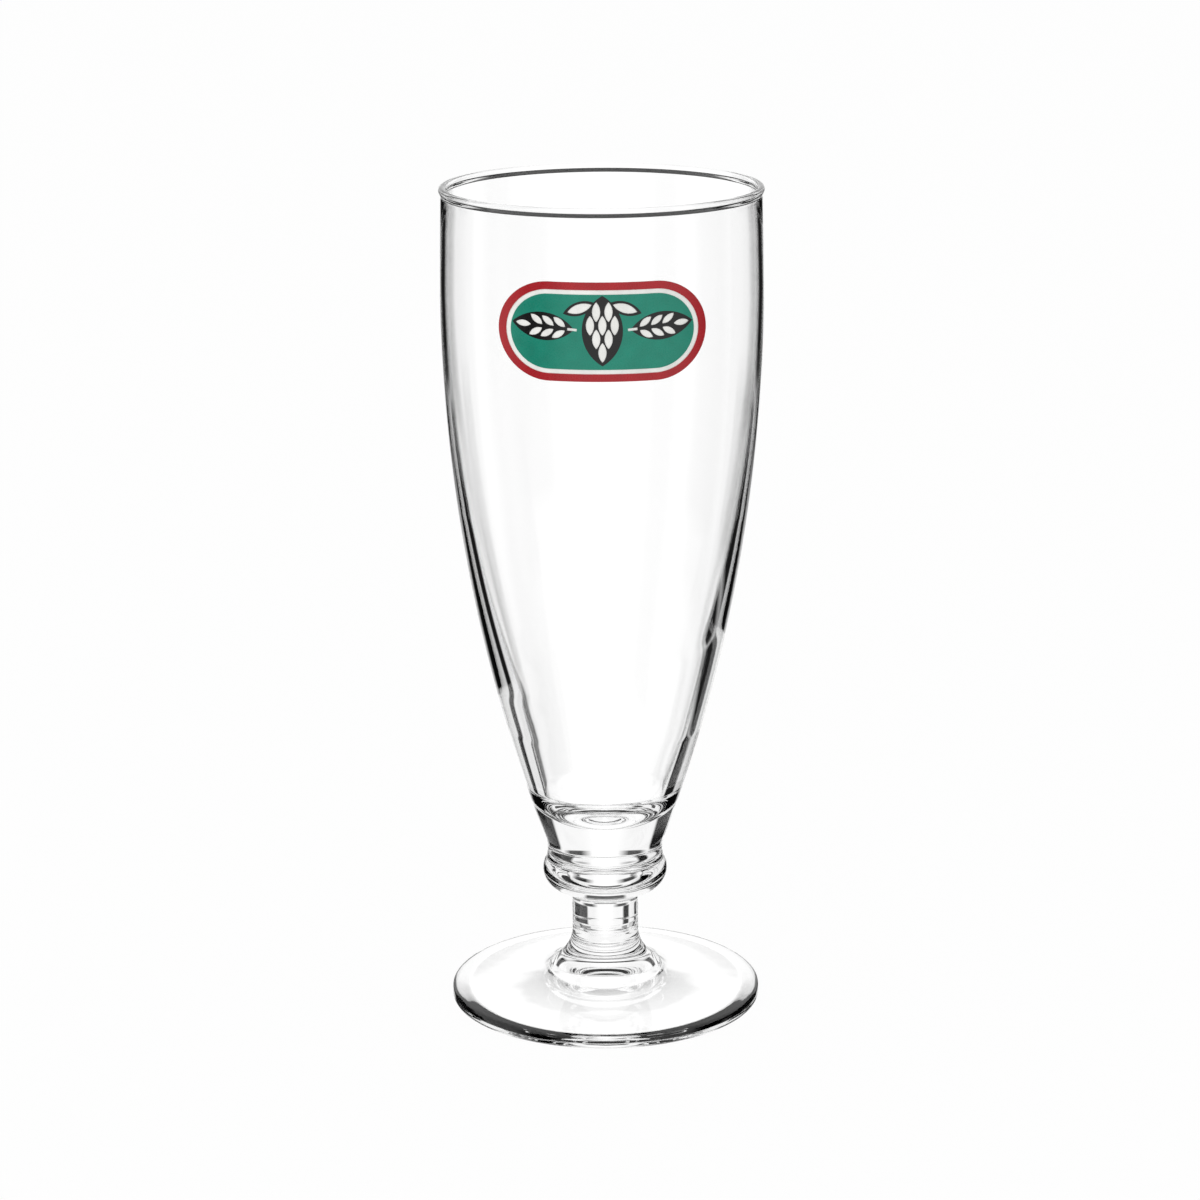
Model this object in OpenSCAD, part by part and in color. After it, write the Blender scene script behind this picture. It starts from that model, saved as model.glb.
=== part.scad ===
// Footed pilsner glass: a blown bowl on a pressed stem and a pressed foot, with a fired label print.
// The axis of the glass is Z, the table is at z = 0 and the label faces -Y.

/* [Bowl] */
// Widest outside diameter of the bowl
bowl_d = 74; // [70:0.5:80]
// Height of the bowl from its seam on the stem to the top of the rim
bowl_h = 159; // [145:1:175]
// Depth below the rim at which the bowl is widest
belly_drop = 24.5; // [20:0.5:30]
// Outside diameter of the solid base at the bottom of the bowl
base_d = 27.4; // [26:0.2:28.6]
// Height of the straight band under the curved wall
base_band_h = 2.2; // [1:0.1:4]
// Wall thickness at the widest height and above it
wall = 1.2; // [1:0.1:2]
// Wall thickness where the glass begins to settle towards the base
shoulder_wall = 4.1; // [3:0.1:4.6]
// Height above the seam at which the shoulder of the hollow starts
shoulder_h = 49.4; // [46:0.2:60]
// Height of the shoulder of the hollow
shoulder_drop = 6; // [4:0.5:10]
// Wall thickness of the bowl below the shoulder
lower_wall = 4.75; // [4.2:0.05:6]
// Thickness of the solid base under the hollow
base_h = 9.5; // [6:0.5:14]
// Radius between the floor of the hollow and its wall
floor_round = 5; // [3:0.5:7]

/* [Rim] */
// Outside diameter over the rounded rim
rim_d = 74; // [70:0.5:80]
// Thickness of the rounded rim
rim_bead = 1.76; // [1.5:0.02:2.2]
// Distance by which the rounded rim stands into the hollow
rim_inset = 0.1; // [0.05:0.01:0.3]

/* [Stem] */
// Height of the stem between its two seams
stem_h = 21.7; // [20:0.1:30]
// Depth of the groove round the seam between bowl and stem
seam_groove = 0.25; // [0.1:0.05:0.6]
// Outside diameter of the knop
knop_d = 29.6; // [28:0.2:32]
// Thickness of the round bulge of the knop
knop_bulge = 9.6; // [8:0.2:10]
// Depth of the middle of the knop below the upper seam
knop_drop = 4.4; // [3:0.1:6]
// Diameter of the neck under the knop
neck_d = 15.8; // [14:0.2:17]
// Radius between the underside of the knop and the neck
knop_round = 3.5; // [2:0.1:4.5]
// Radius of the flare from the neck to the foot
flare_round = 9.5; // [7:0.1:11]

/* [Foot] */
// Outside diameter of the foot
foot_d = 73.6; // [68:0.5:80]
// Height of the foot from the table to its seam on the stem
foot_h = 14.3; // [13:0.1:16]
// Thickness of the rounded edge of the foot
foot_edge = 2.9; // [2.4:0.1:3.6]
// Fall of the upper face of the foot towards its edge, in degrees
foot_fall = 12; // [10:0.5:14]
// Width of the flat ring that the glass stands on
rest_w = 2.4; // [1.5:0.1:5]
// Height of the shallow hollow under the foot
arch_h = 3; // [2:0.1:4]
// Diameter of the dimple under the middle of the foot
dimple_d = 17; // [12:0.5:22]
// Depth of the dimple above the shallow hollow
dimple_h = 2; // [1:0.1:3]

/* [Label] */
// Length of the label
label_l = 45.6; // [36:0.2:50]
// Height of the label
label_h = 22; // [20:0.2:26]
// Depth of the middle of the label below the rim
label_drop = 27; // [24:0.5:60]
// Width of the red border
border_w = 1.7; // [1:0.1:2.4]
// Width of the white line inside the border
line_w = 1; // [0.6:0.1:1.6]
// Thickness of one fired coat of colour
coat = 0.1; // [0.05:0.01:0.2]

/* [Hop cone on the label] */
// Length of one scale of the cone
scale_l = 4.4; // [3.6:0.1:4.6]
// Width of one scale of the cone
scale_w = 1.8; // [1.4:0.1:2]
// Distance between neighbouring scales in a row
scale_gap = 2.7; // [2.6:0.1:3]
// Distance between rows of scales
scale_rise = 3; // [2.9:0.1:3.2]
// Length of the black ground past the scales, at each end of the cone
cone_tip = 1.1; // [0.8:0.1:1.4]
// Width of the black ground beside the widest row of scales
cone_side = 0.9; // [0.8:0.1:1.4]
// Rise of the black ground over the middle of the scales
cone_up = 0.3; // [0.1:0.1:0.4]
// Length of the leaf on each side of the cone
leaf_l = 5.6; // [4:0.1:6]
// Width of the leaf
leaf_w = 2; // [1.4:0.1:2.2]
// Width of the black edge round the leaf
leaf_edge = 0.5; // [0.3:0.1:0.8]
// Distance of the start of the leaf from the middle of the cone, sideways
leaf_side = 2.3; // [2.2:0.1:3]
// Height of the start of the leaf over the middle of the label
leaf_up = 6.1; // [5.6:0.1:6.2]
// Fall of the leaf towards its tip, in degrees
leaf_fall = 18; // [14:1:26]

/* [Ears of barley on the label] */
// Distance of the black ground of each ear from the middle of the label
ear_start = 6.2; // [6:0.1:6.6]
// Rise of the ears towards their tips, in degrees
ear_rise = 5; // [0:1:8]
// Width of the black ground of each ear
ear_w = 6.2; // [6:0.1:7]
// Length of the black ground past the last grain
ear_tip = 0.8; // [0.6:0.1:1]
// Length of the stalk
stalk_l = 2.1; // [1.4:0.1:2.2]
// Length of the stalk that stands out of the black ground
stalk_out = 0.6; // [0.5:0.1:1]
// Width of the stalk
stalk_w = 0.6; // [0.4:0.1:0.8]
// Distance of the first pair of grains from the start of the ground
grain_start = 2; // [1.9:0.1:2.2]
// Length of one grain
grain_l = 3.3; // [2.6:0.1:3.4]
// Width of one grain
grain_w = 1.4; // [1:0.1:1.5]
// Distance between pairs of grains
grain_pitch = 2.5; // [2.4:0.1:2.6]
// Number of pairs of grains
grain_pairs = 3; // [1:1:3]
// Lean of the grains off the middle of the ear, in degrees
grain_lean = 35; // [30:1:38]
// Distance of the inner tips of the grains from the middle of the ear
grain_side = 0.4; // [0.3:0.1:0.5]

/* [Hidden] */
$fn = 256;
// Overrun of every cut past the face that it opens, and of the base up into the wall of the bowl
over = 1;
// Number of scales in each row of the cone, from the top
cone_rows = [2, 3, 2, 1];

// Heights of the two seams, the rim and the widest point of the bowl above the table
stem_z = foot_h;
bowl_z = stem_z + stem_h;
rim_z = bowl_z + bowl_h;
belly_z = rim_z - belly_drop;

// Under its widest height the outside of the bowl is one arc, which ends on the band of the base
base_z = bowl_z + base_band_h;
wall_drop = belly_z - base_z;
wall_gain = (bowl_d - base_d) / 2;
wall_arc = (wall_drop ^ 2 + wall_gain ^ 2) / (2 * wall_gain);
wall_x = bowl_d / 2 - wall_arc;

// Above its widest height the wall runs straight to the rounded rim, with one thickness all the way
bead_r = rim_bead / 2;
bead_x = rim_d / 2 - bead_r;
bead_z = rim_z - bead_r;
mouth_r = bead_x - bead_r + rim_inset;

// The hollow follows a second arc from the widest height down to its shoulder
shoulder_z = bowl_z + shoulder_h;
step_z = shoulder_z - shoulder_drop;
shoulder_r = wall_x + arc_reach(wall_arc, belly_z - shoulder_z) - shoulder_wall;
hollow_gain = bowl_d / 2 - wall - shoulder_r;
hollow_arc = ((belly_z - shoulder_z) ^ 2 + hollow_gain ^ 2) / (2 * hollow_gain);
hollow_x = bowl_d / 2 - wall - hollow_arc;

// Below the shoulder the wall keeps one thickness, and a round joins it to the floor of the hollow
lower_arc = wall_arc - lower_wall;
step_r = wall_x + arc_reach(lower_arc, belly_z - step_z);
floor_z = bowl_z + base_h;
round_z = floor_z + floor_round;
round_x = wall_x + arc_reach(lower_arc - floor_round, belly_z - round_z);
lower_z = belly_z - (belly_z - round_z) * lower_arc / (lower_arc - floor_round);

// The knop is a round bulge, and a concave round leads from under it to the neck
knop_z = bowl_z - knop_drop;
knop_x = (knop_d - knop_bulge) / 2;
neck_x = neck_d / 2 + knop_round;
neck_z = knop_z - arc_reach(knop_bulge / 2 + knop_round, neck_x - knop_x);
// The two rounds meet at this share of the way from the middle of the bulge to that of the other
knop_share = knop_bulge / (knop_bulge + 2 * knop_round);

// The flare is an arc that leaves the neck upright and meets the sloping face of the foot
edge_r = foot_edge / 2;
edge_x = foot_d / 2 - edge_r;
flare_x = neck_d / 2 + flare_round;
flare_z = edge_r + (sin(foot_fall) * (edge_x - flare_x) + edge_r + flare_round) / cos(foot_fall);
rest_x = edge_x - rest_w;
arch_arc = (rest_x ^ 2 + arch_h ^ 2) / (2 * arch_h);
dimple_r = dimple_d / 2;
dimple_arc = (dimple_r ^ 2 + dimple_h ^ 2) / (2 * dimple_h);
dimple_top = arch_h - arch_arc + arc_reach(arch_arc, dimple_r) + dimple_h;

// The label is centred on this height
label_z = rim_z - label_drop;

// The black grounds of the label follow what lies on them
cone_l = (len(cone_rows) - 1) * scale_rise + scale_l;
cone_w = (max(cone_rows) - 1) * scale_gap + scale_w;
grain_end = grain_start + grain_pairs * grain_pitch;
ear_l = grain_end + grain_l;

// How far an arc of radius r reaches sideways at the distance d from its middle
function arc_reach(r, d) = sqrt(r ^ 2 - d ^ 2);

// The part of its children between two heights, on the outer side of the axis
module band(low, high) {
    intersection() {
        translate([0, low]) square([bowl_d, high - low]);
        children();
    }
}

module disc_at(x, z, r) {
    translate([x, z]) circle(r);
}

// The outside of the wall as half of its section, grown by the given coat
module wall_outline(grown = 0) {
    band(base_z, belly_z) disc_at(wall_x, belly_z, wall_arc + grown);
    polygon([
        [0, belly_z],
        [bowl_d / 2 + grown, belly_z],
        [mouth_r + wall + grown, bead_z],
        [0, bead_z]
    ]);
}

// The hollow of the bowl, as half of its section. The shoulder is a cone that cuts off the lower end of the upper
// arc and runs into the lower arc.
module hollow_outline() {
    lean = (shoulder_r - step_r) / shoulder_drop;
    cone_z = step_z - shoulder_drop;
    polygon([
        [0, belly_z],
        [bowl_d / 2 - wall, belly_z],
        [mouth_r, bead_z],
        [mouth_r, rim_z],
        [0, rim_z]
    ]);
    intersection() {
        disc_at(hollow_x, belly_z, hollow_arc);
        polygon([
            [0, cone_z],
            [step_r - lean * shoulder_drop, cone_z],
            [shoulder_r + lean * (belly_z - shoulder_z), belly_z],
            [0, belly_z]
        ]);
    }
    band(lower_z, shoulder_z) disc_at(wall_x, belly_z, lower_arc);
    band(floor_z, step_z) disc_at(round_x, round_z, floor_round);
    translate([0, floor_z]) square([round_x, lower_z - floor_z]);
}

module bowl() {
    base_r = base_d / 2;
    groove_z = bowl_z + seam_groove;
    color("azure", 0.5) rotate_extrude() {
        difference() {
            union() {
                wall_outline();
                polygon([
                    [0, bowl_z],
                    [base_r - seam_groove, bowl_z],
                    [base_r, groove_z],
                    [base_r, base_z + over],
                    [0, base_z + over]
                ]);
            }
            hollow_outline();
        }
        disc_at(bead_x, bead_z, bead_r);
    }
}

// Neck, flare and upper face of the foot, as half of their section
module post_outline() {
    fall = [sin(foot_fall), cos(foot_fall)];
    foot_top = [flare_x, flare_z] - flare_round * fall;
    foot_out = [edge_x, edge_r] + edge_r * fall;
    translate([0, flare_z]) square([neck_d / 2, knop_z - flare_z]);
    difference() {
        translate([0, foot_top.y]) square([foot_top.x, flare_z - foot_top.y]);
        disc_at(flare_x, flare_z, flare_round);
    }
    polygon([[0, 0], [edge_x, 0], foot_out, foot_top, [0, foot_top.y]]);
    disc_at(edge_x, edge_r, edge_r);
}

// The knop, the upright band between its bulge and the seam, and the concave round under it
module knop_outline() {
    base_r = base_d / 2;
    groove_z = bowl_z - seam_groove;
    round_end = knop_x + (neck_x - knop_x) * knop_share;
    polygon([
        [0, knop_z],
        [base_r, knop_z],
        [base_r, groove_z],
        [base_r - seam_groove, bowl_z],
        [0, bowl_z]
    ]);
    band(stem_z, bowl_z) disc_at(knop_x, knop_z, knop_bulge / 2);
    difference() {
        translate([0, neck_z]) square([round_end, knop_z - neck_z]);
        disc_at(neck_x, neck_z, knop_round);
    }
}

module stem() {
    color("azure", 0.5) rotate_extrude() {
        band(stem_z, knop_z) post_outline();
        knop_outline();
    }
}

module foot() {
    color("azure", 0.5) rotate_extrude() difference() {
        band(0, foot_h) post_outline();
        disc_at(0, arch_h - arch_arc, arch_arc);
        disc_at(0, dimple_top - dimple_arc, dimple_arc);
    }
}

// A shape with two pointed ends and round sides, lying along X
module lens(length, width) {
    arc = (length ^ 2 + width ^ 2) / (4 * width);
    intersection() {
        disc_at(0, arc - width / 2, arc);
        disc_at(0, width / 2 - arc, arc);
    }
}

// A bar with round ends, smaller than the label by the given inset all round
module plate(inset = 0) {
    height = label_h - 2 * inset;
    straight = label_l - label_h;
    square([straight, height], center = true);
    for (side = [-1, 1]) translate([side * straight / 2, 0]) circle(d = height);
}

// The white scales of the cone, row by row from the top
module hop_scales() {
    top = (len(cone_rows) - 1) * scale_rise / 2;
    for (row = [0:len(cone_rows) - 1]) {
        count = cone_rows[row];
        for (i = [0:count - 1])
            translate([(i - (count - 1) / 2) * scale_gap, top - row * scale_rise])
                rotate(90) lens(scale_l, scale_w);
    }
}

// The leaf on the right of the cone, grown by the given edge
module leaf(edge = 0) {
    translate([leaf_side, leaf_up]) rotate(-leaf_fall) translate([leaf_l / 2, 0])
        lens(leaf_l + 4 * edge, leaf_w + 2 * edge);
}

// Places an ear on the right of the cone, with the start of its ground at the origin of its children
module place_ear() {
    rotate(ear_rise) translate([ear_start, 0]) children();
}

// The white stalk and grains of an ear
module ear_grains() {
    translate([-stalk_out, -stalk_w / 2]) square([stalk_l, stalk_w]);
    for (pair = [0:grain_pairs - 1], side = [-1, 1])
        translate([grain_start + pair * grain_pitch, side * grain_side]) rotate(side * grain_lean)
            translate([grain_l / 2, 0]) lens(grain_l, grain_w);
    translate([grain_end + grain_l / 2, 0]) lens(grain_l, grain_w);
}

// Its children, and their image on the left of the label
module both_sides() {
    for (side = [0, 1]) mirror([side, 0]) children();
}

// What stays white on the green and black
module motif() {
    hop_scales();
    both_sides() {
        leaf();
        place_ear() ear_grains();
    }
}

// The black grounds, kept inside the green field
module grounds() {
    intersection() {
        plate(border_w + line_w);
        union() {
            translate([0, cone_up]) rotate(90) lens(cone_l + 2 * cone_tip, cone_w + 2 * cone_side);
            both_sides() {
                leaf(leaf_edge);
                place_ear() translate([(ear_l + ear_tip) / 2, 0]) lens(ear_l + ear_tip, ear_w);
            }
        }
    }
}

// One fired coat on the outside of the bowl, with the outline of its children
module print_coat(level) {
    reach = label_h / 2 + over;
    intersection() {
        rotate_extrude(angle = 180, start = 180) difference() {
            band(label_z - reach, label_z + reach) wall_outline((level + 1) * coat);
            wall_outline(level * coat);
        }
        translate([0, 0, label_z]) rotate([90, 0, 0]) linear_extrude(bowl_d) children();
    }
}

module print_white() {
    color("white") print_coat(0) plate();
}

module print_red() {
    color("firebrick") print_coat(1) difference() {
        plate();
        plate(border_w);
    }
}

module print_green() {
    color("teal") print_coat(1) difference() {
        plate(border_w + line_w);
        motif();
        grounds();
    }
}

module print_black() {
    color("black") print_coat(1) difference() {
        grounds();
        motif();
    }
}

bowl();
stem();
foot();
print_white();
print_red();
print_green();
print_black();
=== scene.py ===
import math

import bpy
import numpy as np
from mathutils import Matrix


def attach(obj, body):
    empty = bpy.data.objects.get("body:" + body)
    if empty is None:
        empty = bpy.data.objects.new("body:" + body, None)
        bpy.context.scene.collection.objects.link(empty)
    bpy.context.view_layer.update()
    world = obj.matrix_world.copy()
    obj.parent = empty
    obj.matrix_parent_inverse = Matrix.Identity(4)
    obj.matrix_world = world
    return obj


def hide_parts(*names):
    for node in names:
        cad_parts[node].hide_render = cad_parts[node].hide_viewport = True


# Looks for a footed pilsner glass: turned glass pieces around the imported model, and a fired label on the bowl.
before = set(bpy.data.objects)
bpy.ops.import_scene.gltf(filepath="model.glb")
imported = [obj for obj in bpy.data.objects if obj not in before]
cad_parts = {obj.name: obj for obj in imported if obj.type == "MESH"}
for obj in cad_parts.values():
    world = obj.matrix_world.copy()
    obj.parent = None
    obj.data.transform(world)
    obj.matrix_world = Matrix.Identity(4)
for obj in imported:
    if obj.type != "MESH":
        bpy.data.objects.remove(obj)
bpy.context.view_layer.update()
scene = bpy.context.scene
millimetre = 0.001
weldInset = 0.05  # in millimetres, from the edge of a seam's flat face to the next ring inside it
closeBy = 0.001  # in millimetres
print("frame loaded")

# Small helpers for colours, nodes and meshes


def linearColour(code):
    # Each channel of the hex code, from its sRGB value to the linear one
    channels = np.array([int(code[i:i + 2], 16) for i in (1, 3, 5)]) / 255
    low = channels / 12.92
    high = ((channels + 0.055) / 1.055) ** 2.4
    return (*np.where(channels <= 0.04045, low, high).tolist(), 1.0)


def addNode(tree, kind, settings=None, inputs=None):
    node = tree.nodes.new(kind)
    for name, value in (settings or {}).items():
        setattr(node, name, value)
    for name, value in (inputs or {}).items():
        socket = node.inputs[name]
        if isinstance(value, bpy.types.NodeSocket):
            tree.links.new(value, socket)
        else:
            socket.default_value = value
    return node


def newMaterial(name):
    material = bpy.data.materials.new(name)
    material.use_nodes = True
    material.node_tree.nodes.clear()
    return material, material.node_tree


def arcReach(radius, distance):
    # Half the chord of a circle at a distance from its middle
    return np.sqrt(radius ** 2 - distance ** 2)


def arcPoints(middle, radius, start, end, count=120):
    # Points on a circle from one angle to another, in degrees, counted from the outward direction
    turn = np.radians(np.linspace(start, end, count))
    return np.stack([middle[0] + radius * np.cos(turn), middle[1] + radius * np.sin(turn)], 1)


def alongLine(points):
    # Length along a line of points, from its start to each of them
    return np.concatenate([[0], np.cumsum(np.hypot(*np.diff(points, axis=0).T))])


def softened(points, reach, spacing):
    # The line at even spacing, averaged along its length, with its two ends kept in place. The weights are those of
    # a normal distribution whose spread is the reach, out to four times the spread.
    points = np.asarray(points, float)
    length = alongLine(points)
    count = int(length[-1] / spacing)
    places = np.linspace(0, length[-1], count + 1)
    line = np.stack([np.interp(places, length, points[:, i]) for i in (0, 1)], 1)
    wide = min(count - 1, int(4 * reach * count / length[-1]) + 1)
    offsets = np.arange(-wide, wide + 1) * length[-1] / count
    weights = np.exp(-0.5 * (offsets / reach) ** 2)
    weights /= weights.sum()
    before = 2 * line[0] - line[wide:0:-1]
    after = 2 * line[-1] - line[-2:-wide - 2:-1]
    padded = np.concatenate([before, line, after])
    return np.stack([np.convolve(padded[:, i], weights, "valid") for i in (0, 1)], 1)


def thinned(points, longest, turn):
    # Fewer points on the same line: a step covers the longest length or the given turn in degrees, or a part of
    # both
    way = np.diff(points, axis=0)
    heading = np.unwrap(np.arctan2(way[:, 1], way[:, 0]))
    bend = np.abs(np.diff(heading, prepend=heading[0]))
    cost = np.concatenate([[0], np.cumsum(np.hypot(*way.T) / longest + bend / math.radians(turn))])
    steps = np.linspace(0, cost[-1], math.ceil(cost[-1]) + 1)
    return np.stack([np.interp(steps, cost, points[:, i]) for i in (0, 1)], 1)


def joined(*lines):
    # Lines end to end, without the doubled points where they meet
    parts = [lines[0]] + [line[1:] for line in lines[1:]]
    return np.concatenate(parts)


def column(radius, height):
    return np.stack([radius, height], 1)


def capRound(halfWidth, rise):
    # The radius of an arc with half its chord and its rise given
    return (halfWidth ** 2 + rise ** 2) / (2 * rise)


def weldEnd(side, height):
    # From the end of a side line to the axis, along the flat face of a seam
    return np.array([side[-1], [side[-1][0] - weldInset, height], [0, height]])


def seamSlots(*seams):
    # The second slot for the faces at the height of a seam, and the first one for all others
    def slotAt(height):
        return np.any([np.abs(height - seam) < closeBy for seam in seams], axis=0)

    return slotAt


def turnedPiece(name, profile, steps, slots, body="root", shift=None):
    # A profile of radius and height in millimetres, turned about the upright axis. Both its ends lie on the axis,
    # and each becomes one point there. The shift, if any, moves the points of the grid by a function of angle,
    # radius and height. The slots are a function of height.
    rings = profile[1:-1]
    angle = np.linspace(0, 2 * math.pi, steps, endpoint=False)
    radius = np.repeat(rings[:, :1], steps, 1)
    height = np.repeat(rings[:, 1:], steps, 1)
    around = np.repeat(angle[None], len(rings), 0)
    if shift is not None:
        radius, height = shift(around, radius, height)
    grid = np.stack([radius * np.cos(around), radius * np.sin(around), height], 2).reshape(-1, 3)
    ends = np.array([[0, 0, profile[0, 1]], [0, 0, profile[-1, 1]]])
    points = np.concatenate([grid, ends]) * millimetre
    number = np.arange(len(rings) * steps).reshape(len(rings), steps)
    after = np.roll(number, -1, 1)
    quads = np.stack([number[:-1], after[:-1], after[1:], number[1:]], 2).reshape(-1, 4)
    low = np.full(steps, len(grid))
    fans = np.concatenate([
        np.stack([low, after[0], number[0]], 1),
        np.stack([number[-1], after[-1], low + 1], 1),
    ])
    mesh = bpy.data.meshes.new(name)
    mesh.from_pydata(points, [], quads.tolist() + fans.tolist())
    mesh.polygons.foreach_set("use_smooth", np.ones(len(mesh.polygons), bool))
    middle = (rings[:-1, 1] + rings[1:, 1]) / 2
    faceSlots = np.repeat(slots(np.concatenate([middle, profile[[0, -1], 1]])), steps)
    mesh.polygons.foreach_set("material_index", faceSlots.astype(np.int32))
    mesh.update()
    piece = bpy.data.objects.new(name, mesh)
    scene.collection.objects.link(piece)
    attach(piece, body)
    return piece


# The bowl. The sizes of the three glass pieces are in millimetres, and their heights are counted from the table.

bowl = {
    "seam": 36.0,  # height of the seam on the stem
    "rim": 195.0,
    "rimRadius": 37.0,
    "belly": 170.5,  # height at which the bowl is widest
    "bellyRadius": 37.0,
    "baseRadius": 13.7,
    "bandTop": 38.2,
    "bandEnd": 38.5,  # the long outer curve is followed from this height up
    "baseTop": 46.0,  # and it is softened less below this one
    "wall": 1.2,
    "insideFrom": 1.0,  # what lies deeper than this under the outside is the inner wall
    "settleTop": 120.0,  # the inner wall has a shoulder somewhere below this height
    "settleSoft": 0.06,
    "innerMark": 85.4,  # the upper inner curve passes here at this thickness
    "innerMarkWall": 4.1,
    "lowerWall": 4.2,  # the wall under the shoulder
    "lowerLean": 0.55,  # it is thicker by this on the left and thinner on the right
    "leanFade": 15.0,
    "floor": 44.7,
    "floorMeet": 52.4,  # the round end of the hollow meets its wall at this height
    "floorClear": 0.5,  # the settled wall starts this much higher
    "groove": 0.25,
    "grooveHeight": 0.4,
    "beadRadius": 0.88,
    "rimInset": 0.1,
    "neckTop": 192.9,  # the wall is drawn a little thinner up to this height, under the rounded rim
    "neckFoot": 186.0,
    "neckDepth": 0.2,
    "neckTurn": 35,  # the rounded rim goes this far under its middle outside, in degrees
    "neckTurnInside": 25,
    "proud": 0.04,  # the outside stands this far into the fired coats
    "labelMiddle": 168.0,
    "labelReach": 12.0,
    "labelFade": 8.0,
    "steps": 256,
    "counts": {"base": 20, "wall": 400, "neck": 60, "upper": 200, "settling": 110},
    # How far the softening reaches, and how far apart its points lie
    "softness": {
        "base": (0.3, 0.04),
        "wall": (3.0, 0.2),
        "rim": (0.12, 0.04),
        "upper": (2.0, 0.1),
        "floor": (0.6, 0.04),
    },
    # The longest step between two rings, and the most that the line may turn there, in degrees
    "rings": {"base": (0.8, 5), "wall": (2.0, 5), "rim": (0.4, 8), "upper": (1.6, 2), "floor": (0.6, 4)},
}


def bowlCurves(size):
    # The long outer curve and the upper inner one, as functions of height, and the middle of the rounded rim
    gain = size["bellyRadius"] - size["baseRadius"]
    drop = size["belly"] - size["bandTop"]
    arc = capRound(drop, gain)
    middle = size["bellyRadius"] - arc
    beadX = size["rimRadius"] - size["beadRadius"]
    beadZ = size["rim"] - size["beadRadius"]
    mouth = beadX - size["beadRadius"] + size["rimInset"]

    def outer(height):
        low = middle + arcReach(arc, np.minimum(height - size["belly"], 0))
        share = (height - size["belly"]) / (beadZ - size["belly"])
        return np.where(height < size["belly"], low, low + (mouth + size["wall"] - size["bellyRadius"]) * share)

    bellyInside = size["bellyRadius"] - size["wall"]
    innerGain = bellyInside - outer(size["innerMark"]) + size["innerMarkWall"]
    innerDrop = size["belly"] - size["innerMark"]
    innerArc = capRound(innerDrop, innerGain)

    def upper(height):
        low = bellyInside - innerArc + arcReach(innerArc, np.minimum(height - size["belly"], 0))
        return np.where(height < size["belly"], low, outer(height) - size["wall"])

    return outer, upper, (beadX, beadZ)


def hollowEnd(size, outer):
    # The even wall under the shoulder, and the round end of the hollow, which is part of a ball about the axis
    heights = np.linspace(size["settleTop"], size["floorMeet"], size["counts"]["settling"])[1:]
    wallLine = column(outer(heights) - size["lowerWall"], heights)
    meetX = wallLine[-1, 0]
    ball = capRound(meetX, size["floorMeet"] - size["floor"])
    turn = math.degrees(math.acos(meetX / ball))
    ballArc = arcPoints((0, size["floor"] + ball), ball, -turn, -90)
    lap = 4  # points of the wall that are softened together with the round end
    floorLine = softened(joined(wallLine[-lap:], ballArc[1:]), *size["softness"]["floor"])
    return joined(wallLine[:1 - lap], thinned(floorLine, *size["rings"]["floor"]))


def bowlProfile(size):
    outer, upper, bead = bowlCurves(size)
    counts, softness, spacing = size["counts"], size["softness"], size["rings"]
    edge = size["baseRadius"] - size["groove"]
    band = np.array([
        [edge, size["seam"]],
        [size["baseRadius"], size["seam"] + size["grooveHeight"]],
        [size["baseRadius"], size["bandTop"]],
    ])
    rising = np.linspace(size["bandEnd"], size["baseTop"], counts["base"])
    baseLine = softened(joined(band, column(outer(rising), rising)), *softness["base"])
    wallHeights = np.linspace(size["baseTop"], size["neckFoot"], counts["wall"])
    wallLine = softened(column(outer(wallHeights), wallHeights), *softness["wall"])
    neck = np.linspace(size["neckFoot"], size["neckTop"], counts["neck"])
    thin = size["neckDepth"] * ((neck - size["neckFoot"]) / (size["neckTop"] - size["neckFoot"])) ** 2
    rimLine = softened(joined(
        column(outer(neck), neck),
        arcPoints(bead, size["beadRadius"], -size["neckTurn"], 180 + size["neckTurnInside"]),
        column(upper(neck) + thin, neck)[::-1],
    ), *softness["rim"])
    rimTop = len(rimLine) // 2
    outside = joined(
        thinned(baseLine, *spacing["base"]),
        thinned(wallLine, *spacing["wall"]),
        thinned(rimLine[:rimTop], *spacing["rim"]),
    )
    beyond = np.abs(outside[:, 1] - size["labelMiddle"]) - size["labelReach"]
    outside[:, 0] += size["proud"] * np.clip(1 - beyond / size["labelFade"], 0, 1)

    falling = np.linspace(size["neckFoot"], size["settleTop"], counts["upper"])
    upperLine = softened(column(upper(falling), falling), *softness["upper"])
    inside = joined(
        thinned(rimLine[rimTop:], *spacing["rim"]),
        thinned(upperLine, *spacing["upper"]),
        hollowEnd(size, outer),
    )
    weldFace = np.array([[0, size["seam"]], [edge - weldInset, size["seam"]], [edge, size["seam"]]])
    whole = joined(weldFace, outside, inside)
    whole[-1, 0] = 0
    return whole


def settled(around, radius, height):
    # The inner wall settled while it was hot: down to a leaning shoulder it thickens along the upper curve, and
    # under it the wall stays even. The thinner of the two holds at each height, with a soft change between them.
    outer, upper, _ = bowlCurves(bowl)
    fade = np.clip((height - bowl["floorMeet"]) / bowl["leanFade"], 0, 1)
    under = bowl["lowerWall"] - bowl["lowerLean"] * np.cos(around) * fade
    over = outer(height) - upper(height)
    wall = (under + over - np.hypot(under - over, 2 * bowl["settleSoft"])) / 2
    inner = radius < outer(height) - bowl["insideFrom"]
    here = inner & (height > bowl["floorMeet"] + bowl["floorClear"]) & (height < bowl["settleTop"])
    return np.where(here, outer(height) - wall, radius), height


# The stem and the foot

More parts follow.
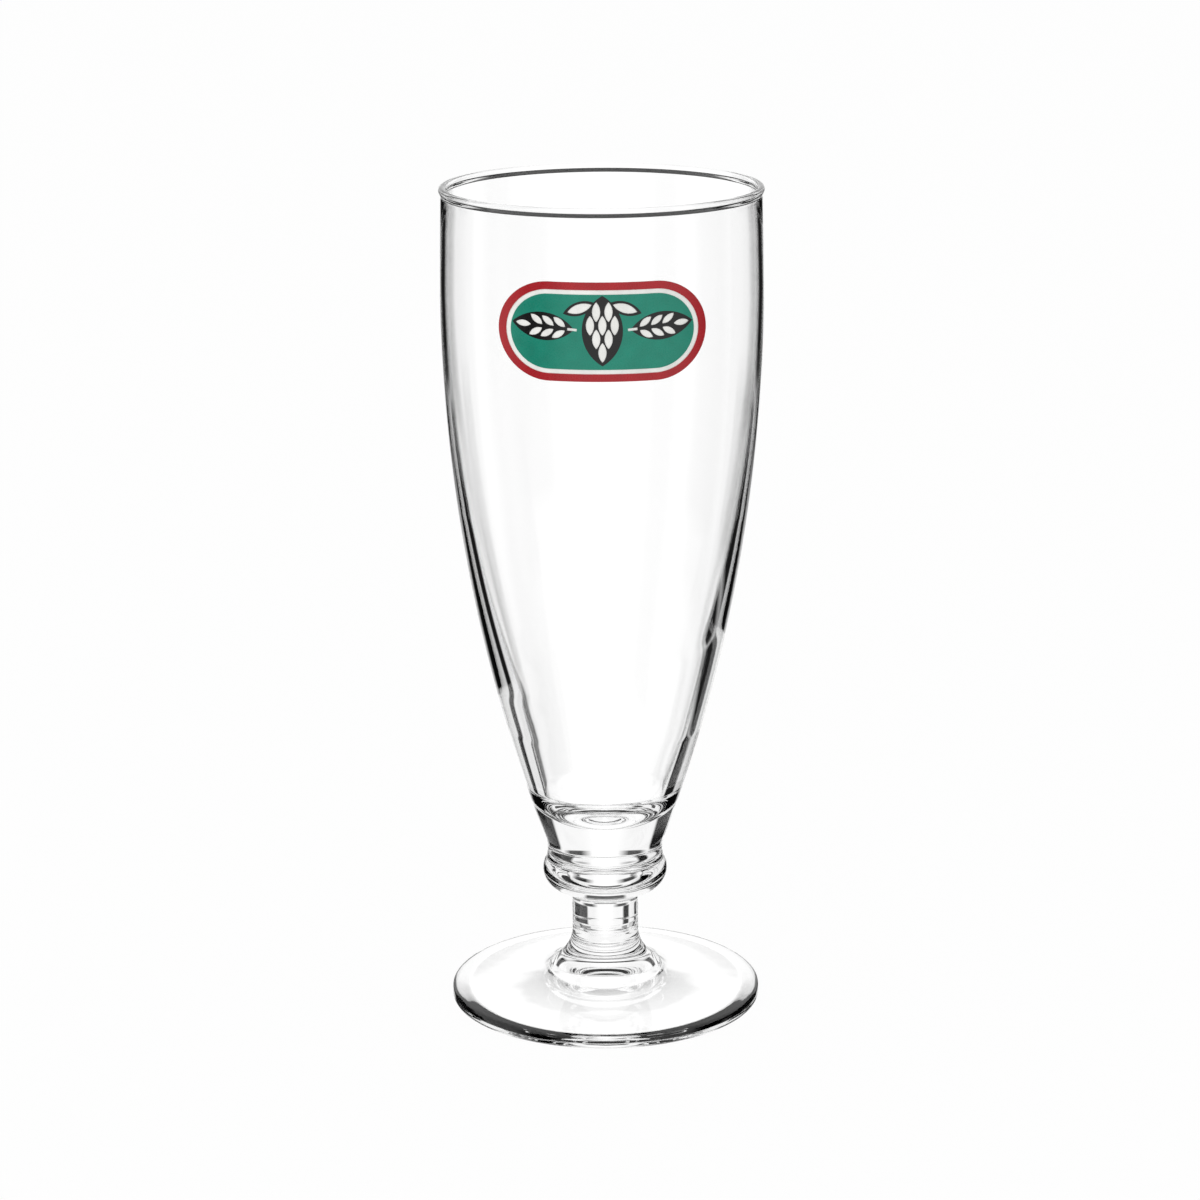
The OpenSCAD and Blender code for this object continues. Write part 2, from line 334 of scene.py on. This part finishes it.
stem = {
    "low": 14.3,
    "top": bowl["seam"],
    "bandRadius": bowl["baseRadius"],
    "bandHeight": 1.3,
    "groove": bowl["groove"],
    "grooveHeight": bowl["grooveHeight"],
    "knopRadius": 14.8,
    "knopBulge": 4.8,
    "knopHeight": 31.6,
    "knopTurn": 35,  # the knop goes this far over its middle, in degrees
    "neck": 7.9,
    "neckRound": 3.5,  # the round between the neck and the knop
    "flareRound": 9.5,
    "flareHeight": 16.46,
    "crease": 17.2,
    "creaseDepth": 0.06,
    "creaseWidth": 0.18,
    "steps": 256,
    "counts": {"flare": 40, "neckRound": 60, "knop": 160},
    "softness": (0.25, 0.04),
    "rings": (0.6, 4),
}


def creased(points, height, depth, width):
    # A fine groove round the piece at one height
    line = points.copy()
    line[:, 0] -= depth * np.exp(-((line[:, 1] - height) / width) ** 2)
    return line


def stemProfile(size):
    flareX = size["neck"] + size["flareRound"]
    lowRadius = flareX - arcReach(size["flareRound"], size["flareHeight"] - size["low"])
    startTurn = 180 + math.degrees(math.asin((size["flareHeight"] - size["low"]) / size["flareRound"]))
    # The round over the neck touches the bulge of the knop
    knopX = size["knopRadius"] - size["knopBulge"]
    roundX = size["neck"] + size["neckRound"]
    roundZ = size["knopHeight"] - arcReach(size["neckRound"] + size["knopBulge"], knopX - roundX)
    meet = math.degrees(math.atan2(size["knopHeight"] - roundZ, knopX - roundX))
    counts = size["counts"]
    line = joined(
        arcPoints((flareX, size["flareHeight"]), size["flareRound"], startTurn, 180, counts["flare"]),
        np.array([[size["neck"], size["flareHeight"]], [size["neck"], roundZ]]),
        arcPoints((roundX, roundZ), size["neckRound"], 180, meet, counts["neckRound"]),
        arcPoints((knopX, size["knopHeight"]), size["knopBulge"], meet - 180, size["knopTurn"], counts["knop"]),
        np.array([
            [size["bandRadius"], size["top"] - size["bandHeight"]],
            [size["bandRadius"], size["top"] - size["grooveHeight"]],
            [size["bandRadius"] - size["groove"], size["top"]],
        ]),
    )
    line = softened(line, *size["softness"])
    line = creased(line, size["crease"], size["creaseDepth"], size["creaseWidth"])
    side = thinned(line, *size["rings"])
    lowEnd = np.array([[0, size["low"]], [lowRadius - weldInset, size["low"]], side[0]])
    return joined(lowEnd, side, weldEnd(side, size["top"]))


foot = {
    "top": stem["low"],
    "radius": 36.8,
    "edge": 1.45,  # half its thickness at the edge
    "edgeRoundTop": 0.8,
    "edgeRoundLow": 0.3,
    "edgeStart": 0.02,  # the line of the top starts this far before the lower round
    "edgeLift": 0.01,  # and the upper round lies this much higher than its edge says
    "flareX": stem["neck"] + stem["flareRound"],
    "flareRound": stem["flareRound"],
    "flareHeight": stem["flareHeight"],
    "fall": 12.0,  # the slope of the top, in degrees
    "restWidth": 3.0,
    "archHeight": 3.0,
    "dimpleRadius": 12.0,
    "dimpleHeight": 3.0,
    "steps": 256,
    "counts": {"dimple": 40, "arch": 60, "edge": 40, "flare": 80},
    "softness": {"below": (0.35, 0.04), "above": (0.2, 0.04)},
    "rings": {"below": (0.9, 3), "above": (0.7, 4)},
}


def footUnderside(size, restX):
    # From the axis outwards: a dimple, then a shallow arch, both parts of balls about the axis
    arch = capRound(restX, size["archHeight"])
    archMiddle = size["archHeight"] - arch
    dimple = capRound(size["dimpleRadius"], size["dimpleHeight"])
    dimpleTop = archMiddle + arcReach(arch, size["dimpleRadius"]) + size["dimpleHeight"]
    inner = np.linspace(0, size["dimpleRadius"], size["counts"]["dimple"])
    outer = np.linspace(size["dimpleRadius"], restX, size["counts"]["arch"])[1:]
    return np.concatenate([
        column(inner, dimpleTop - dimple + arcReach(dimple, inner)),
        column(outer, archMiddle + arcReach(arch, outer)),
    ])


def footTop(size):
    # From under the edge, round its two rounds and up the slope to the flare
    roundLow, roundTop, counts = size["edgeRoundLow"], size["edgeRoundTop"], size["counts"]
    lowX = size["radius"] - roundLow
    topX = size["radius"] - roundTop
    tilt = math.radians(size["fall"])
    lift = (size["edge"] - roundTop) * (1 - math.sin(tilt)) / math.cos(tilt)
    topZ = size["edge"] + lift + size["edgeLift"]
    flareMiddle = (size["flareX"], size["flareHeight"])
    flareTurn = 180 + math.degrees(math.asin((size["flareHeight"] - size["top"]) / size["flareRound"]))
    return joined(
        np.array([[lowX - size["edgeStart"], 0]]),
        arcPoints((lowX, roundLow), roundLow, -90, 0, counts["edge"]),
        arcPoints((topX, topZ), roundTop, 0, 90 - size["fall"], counts["edge"]),
        arcPoints(flareMiddle, size["flareRound"], 270 - size["fall"], flareTurn, counts["flare"]),
    )


def footProfile(size):
    edgeX = size["radius"] - size["edge"]
    under = footUnderside(size, edgeX - size["restWidth"])
    below = softened(np.concatenate([under, [[edgeX, 0]]]), *size["softness"]["below"])
    above = softened(footTop(size), *size["softness"]["above"])
    side = joined(thinned(below, *size["rings"]["below"]), thinned(above, *size["rings"]["above"]))
    whole = joined(side, weldEnd(side, size["top"]))
    whole[0, 0] = 0
    return whole


# Materials

glass = {
    "colour": "#FFFFFF",
    "ior": 1.52,
    "shadow": "#F9FBFA",
    "blownWaves": (22.0, 0.012),  # size and height in millimetres
    "pressedWaves": (7.0, 0.02),
    "waveDetail": 1.0,
}


def clearGlass(name, waveSize, waveHeight):
    # Soda-lime glass, fire polished: clear, with dark edges where it bends the light away. Shallow waves of the
    # given size and height, both in millimetres, are those that the mould and the flame leave in its skin.
    material, tree = newMaterial(name)
    place = addNode(tree, "ShaderNodeTexCoord")
    waves = addNode(tree, "ShaderNodeTexNoise", inputs={
        "Vector": place.outputs["Object"], "Scale": 1 / (waveSize * millimetre), "Detail": glass["waveDetail"]})
    skin = addNode(tree, "ShaderNodeBump", inputs={
        "Height": waves.outputs[0], "Strength": 1.0, "Distance": waveHeight * millimetre})
    surface = addNode(tree, "ShaderNodeBsdfPrincipled", inputs={
        "Base Color": linearColour(glass["colour"]),
        "Roughness": 0.0,
        "IOR": glass["ior"],
        "Transmission Weight": 1.0,
        "Normal": skin.outputs[0],
    })
    lightThrough = addNode(tree, "ShaderNodeBsdfTransparent", inputs={"Color": linearColour(glass["shadow"])})
    path = addNode(tree, "ShaderNodeLightPath")
    mixed = addNode(tree, "ShaderNodeMixShader", inputs={
        0: path.outputs["Is Shadow Ray"],
        1: surface.outputs[0],
        2: lightThrough.outputs[0],
    })
    addNode(tree, "ShaderNodeOutputMaterial", inputs={"Surface": mixed.outputs[0]})
    return material


def weldedGlass():
    # Glass fused to glass: the join lets the light straight through
    material, tree = newMaterial("fused seam")
    through = addNode(tree, "ShaderNodeBsdfTransparent")
    addNode(tree, "ShaderNodeOutputMaterial", inputs={"Surface": through.outputs[0]})
    return material


blownGlass = clearGlass("blown soda-lime glass, fire polished", *glass["blownWaves"])
pressedGlass = clearGlass("pressed soda-lime glass, fire polished", *glass["pressedWaves"])
weld = weldedGlass()

bowlPiece = turnedPiece("glassBowl", bowlProfile(bowl), bowl["steps"], seamSlots(bowl["seam"]), shift=settled)
stemPiece = turnedPiece("glassStem", stemProfile(stem), stem["steps"], seamSlots(stem["low"], stem["top"]))
footPiece = turnedPiece("glassFoot", footProfile(foot), foot["steps"], seamSlots(foot["top"]))
for piece, node, skin in (
        (bowlPiece, "bowl", blownGlass), (stemPiece, "stem", pressedGlass), (footPiece, "foot", pressedGlass)):
    piece.data.materials.append(skin)
    piece.data.materials.append(weld)
    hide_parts(node)
print("glass turned")

# The label

coat = {
    "grain": 0.16,  # size in millimetres of the grain that the screen and the firing leave
    "grainDetail": 2.0,
    "grainSpan": (0.3, 0.7),  # most of the grain's values lie between these
    "grainHeight": 0.004,
    "grainStrength": 0.6,
    "patch": 3.2,  # size of the faint patches where the coat is thicker or thinner
    "patchDetail": 3.0,
    "patchSpan": (0.25, 0.75),
    "patchShade": 0.09,
    "gloss": (0.2, 0.42),  # roughness of the glossiest and the dullest grains
    "ior": 1.5,
}


def firedInk(name, colour):
    # Screen-printed glass enamel, fired: opaque, with a soft gloss, a fine grain and faint cloudy patches
    material, tree = newMaterial(name)
    place = addNode(tree, "ShaderNodeTexCoord").outputs["Object"]
    grain = addNode(tree, "ShaderNodeTexNoise", inputs={
        "Vector": place, "Scale": 1 / (coat["grain"] * millimetre), "Detail": coat["grainDetail"]})
    patches = addNode(tree, "ShaderNodeTexNoise", inputs={
        "Vector": place, "Scale": 1 / (coat["patch"] * millimetre), "Detail": coat["patchDetail"]})
    # The shade lies evenly round 1, so that the coat keeps its written colour on the whole
    shade = addNode(tree, "ShaderNodeMapRange", inputs={
        "Value": patches.outputs[0], "From Min": coat["patchSpan"][0], "From Max": coat["patchSpan"][1],
        "To Min": 1 - coat["patchShade"], "To Max": 1 + coat["patchShade"]})
    tinted = addNode(tree, "ShaderNodeVectorMath", {"operation": "SCALE"}, {
        0: linearColour(colour)[:3], "Scale": shade.outputs[0]})
    gloss = addNode(tree, "ShaderNodeMapRange", inputs={
        "Value": grain.outputs[0], "From Min": coat["grainSpan"][0], "From Max": coat["grainSpan"][1],
        "To Min": coat["gloss"][0], "To Max": coat["gloss"][1]})
    skin = addNode(tree, "ShaderNodeBump", inputs={
        "Height": grain.outputs[0], "Strength": coat["grainStrength"],
        "Distance": coat["grainHeight"] * millimetre})
    surface = addNode(tree, "ShaderNodeBsdfPrincipled", inputs={
        "Base Color": tinted.outputs[0],
        "Roughness": gloss.outputs[0],
        "IOR": coat["ior"],
        "Normal": skin.outputs[0],
    })
    addNode(tree, "ShaderNodeOutputMaterial", inputs={"Surface": surface.outputs[0]})
    return material


inks = {
    "print_white": firedInk("fired enamel, white", "#FAFAF6"),
    "print_red": firedInk("fired enamel, red", "#AE1420"),
    "print_green": firedInk("fired enamel, green", "#0B8871"),
    "print_black": firedInk("fired enamel, black", "#080808"),
}
for node, ink in inks.items():
    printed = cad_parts[node]
    printed.data.materials.clear()
    printed.data.materials.append(ink)
print("label printed")

# The studio

studio = {
    "floorSide": 12.0,
    "floorDrop": 0.00002,
    "floorColour": "#F4F4F4",
    "floorGlow": 0.96,  # share of plain white in the floor that the camera sees, and the rest is lit paper
    "lampSide": 0.9,
    "lampEnergy": 4.0,
    "lampPlace": (-0.7, -0.9, 1.1),
    "lampTurn": -38,
    "lampTip": 46,
}


def floorSurface():
    # Plain paper that takes a faint shadow, and lets what is bent or mirrored by the glass see the room under it
    material, tree = newMaterial("pale studio paper")
    path = addNode(tree, "ShaderNodeLightPath")
    paper = addNode(tree, "ShaderNodeBsdfDiffuse", inputs={"Color": linearColour(studio["floorColour"])})
    glow = addNode(tree, "ShaderNodeEmission", inputs={"Color": linearColour("#FFFFFF"), "Strength": 1.0})
    shown = addNode(tree, "ShaderNodeMixShader", inputs={
        0: studio["floorGlow"], 1: paper.outputs[0], 2: glow.outputs[0]})
    through = addNode(tree, "ShaderNodeBsdfTransparent")
    bent = addNode(tree, "ShaderNodeMath", {"operation": "MAXIMUM"}, {
        0: path.outputs["Is Transmission Ray"], 1: path.outputs["Is Glossy Ray"]})
    plain = addNode(tree, "ShaderNodeMixShader", inputs={
        0: path.outputs["Is Camera Ray"], 1: paper.outputs[0], 2: shown.outputs[0]})
    mixed = addNode(tree, "ShaderNodeMixShader", inputs={
        0: bent.outputs[0], 1: plain.outputs[0], 2: through.outputs[0]})
    addNode(tree, "ShaderNodeOutputMaterial", inputs={"Surface": mixed.outputs[0]})
    return material


half = studio["floorSide"] / 2
floorMesh = bpy.data.meshes.new("floor")
corners = [(x * half, y * half, -studio["floorDrop"]) for x, y in ((-1, -1), (1, -1), (1, 1), (-1, 1))]
floorMesh.from_pydata(corners, [], [(0, 1, 2, 3)])
floor = bpy.data.objects.new("floor", floorMesh)
scene.collection.objects.link(floor)
floor.data.materials.append(floorSurface())

# What the glass shows of the room, by the direction of the ray: white all round, with black cards that give the
# glass its dark edges. Each card has its left and right end, its lower and upper edge and the softness of its two
# ends, in degrees, counted from straight behind the glass towards the right of the label.
room = {
    "paper": 1.08,  # strength of the backdrop's middle
    "aside": 0.95,  # the backdrop fades to this towards its sides
    "fade": 16,  # how far from its middle, in degrees
    "dark": 0.012,
    "rowSoft": 1.5,  # softness of the lower and upper edges
    "even": 0.75,  # what matt surfaces get from all directions alike
    "seen": 1.0,  # what the camera sees behind the glass
}
cards = {
    "right of the backdrop, lowest": (22, 47, -40, -28, 1.5),
    "right of the backdrop, low": (25, 63, -28, -15, 1.5),
    "right of the backdrop": (13, 31, -15, -3, 4),
    "right of the backdrop, high": (38, 112, -3, 22, 1.5),
    "left of the backdrop, low and near": (-36.5, -25, -40, -15, 1.5),
    "left of the backdrop, low and far": (-66, -54, -40, -15, 1.5),
    "left of the backdrop": (-31, -13, -15, -3, 4),
    "left of the backdrop, high": (-68, -38, -3, 22, 1.5),
    "left side": (-146, -116, -30, 12, 8),
    "right side": (78, 112, -30, 0, 8),
}
overCard = (-14, 14, 5.5, 20, 1.5)  # over the backdrop, seen only through the glass
wings = ((22, 78, -42, -3, 3), (-78, -22, -42, -3, 3))  # seen only as reflections, which keeps the edges dark


def roomWorld():
    world = bpy.data.worlds.new("studio")
    world.use_nodes = True
    tree = world.node_tree
    tree.nodes.clear()

    def maths(operation, *values):
        return addNode(tree, "ShaderNodeMath", {"operation": operation}, dict(enumerate(values))).outputs[0]

    def within(distance, reach, soft):
        # One inside the reach and nothing outside it, with a soft edge
        return addNode(tree, "ShaderNodeMapRange", inputs={
            "Value": distance, "From Min": reach + soft, "From Max": reach - soft}).outputs[0]

    path = addNode(tree, "ShaderNodeLightPath")
    way = addNode(tree, "ShaderNodeTexCoord")
    split = addNode(tree, "ShaderNodeSeparateXYZ", inputs={0: way.outputs["Generated"]})
    rise = maths("DEGREES", maths("ARCSINE", split.outputs["Z"]))
    turn = maths("DEGREES", maths("ARCTAN2", split.outputs["X"], split.outputs["Y"]))

    def shadeOf(left, right, low, top, soft):
        sideways = maths("ABSOLUTE", maths("WRAP", maths("SUBTRACT", turn, (left + right) / 2), 180.0, -180.0))
        upwards = maths("ABSOLUTE", maths("SUBTRACT", rise, (low + top) / 2))
        inWidth = within(sideways, (right - left) / 2, soft)
        inHeight = within(upwards, (top - low) / 2, room["rowSoft"])
        return maths("MULTIPLY", inWidth, inHeight)

    cover = maths("MULTIPLY", shadeOf(*overCard), path.outputs["Is Transmission Ray"])
    mirrored = maths("SUBTRACT", path.outputs["Is Glossy Ray"], path.outputs["Is Transmission Ray"])
    for wing in wings:
        cover = maths("MAXIMUM", cover, maths("MULTIPLY", shadeOf(*wing), mirrored))
    for card in cards.values():
        cover = maths("MAXIMUM", cover, shadeOf(*card))
    paper = addNode(tree, "ShaderNodeMapRange", {"interpolation_type": "SMOOTHSTEP"}, {
        "Value": maths("ABSOLUTE", turn), "From Max": room["fade"],
        "To Min": room["paper"], "To Max": room["aside"]})
    lit = addNode(tree, "ShaderNodeMapRange", inputs={
        "Value": cover, "To Min": paper.outputs[0], "To Max": room["dark"]})
    bent = maths("MAXIMUM", path.outputs["Is Transmission Ray"], path.outputs["Is Glossy Ray"])
    seen = addNode(tree, "ShaderNodeMapRange", inputs={
        "Value": path.outputs["Is Camera Ray"], "To Min": room["even"], "To Max": room["seen"]})
    strength = addNode(tree, "ShaderNodeMix", {"data_type": "FLOAT"}, {
        0: bent, 2: seen.outputs[0], 3: lit.outputs[0]})
    light = addNode(tree, "ShaderNodeBackground", inputs={
        "Color": linearColour("#FFFFFF"), "Strength": strength.outputs[0]})
    addNode(tree, "ShaderNodeOutputWorld", inputs={"Surface": light.outputs[0]})
    return world


scene.world = roomWorld()

lamp = bpy.data.lights.new("softLamp", "AREA")
lamp.shape = "RECTANGLE"
lamp.size = studio["lampSide"]
lamp.size_y = studio["lampSide"]
lamp.energy = studio["lampEnergy"]
lampObject = bpy.data.objects.new("softLamp", lamp)
lampObject.matrix_world = (
    Matrix.Translation(studio["lampPlace"])
    @ Matrix.Rotation(math.radians(studio["lampTurn"]), 4, "Z")
    @ Matrix.Rotation(math.radians(studio["lampTip"]), 4, "X")
)
lampObject.visible_glossy = False
lampObject.visible_transmission = False
scene.collection.objects.link(lampObject)

# The camera

view = {
    "place": (-0.00085, -0.7581, 0.3038),
    "pitch": 15.221,  # downwards, in degrees
    "roll": -0.33,
    "lens": 100.7,
    "sensor": 36.0,
    "clip": (0.01, 100),
}
camera = bpy.data.cameras.new("camera")
camera.sensor_fit = "HORIZONTAL"
camera.sensor_width = view["sensor"]
camera.lens = view["lens"]
camera.clip_start, camera.clip_end = view["clip"]
cameraObject = bpy.data.objects.new("camera", camera)
cameraObject.matrix_world = (
    Matrix.Translation(view["place"])
    @ Matrix.Rotation(math.radians(90 - view["pitch"]), 4, "X")
    @ Matrix.Rotation(math.radians(view["roll"]), 4, "Z")
)
scene.collection.objects.link(cameraObject)
scene.camera = cameraObject
scene.view_settings.view_transform = "Standard"
print("studio set")
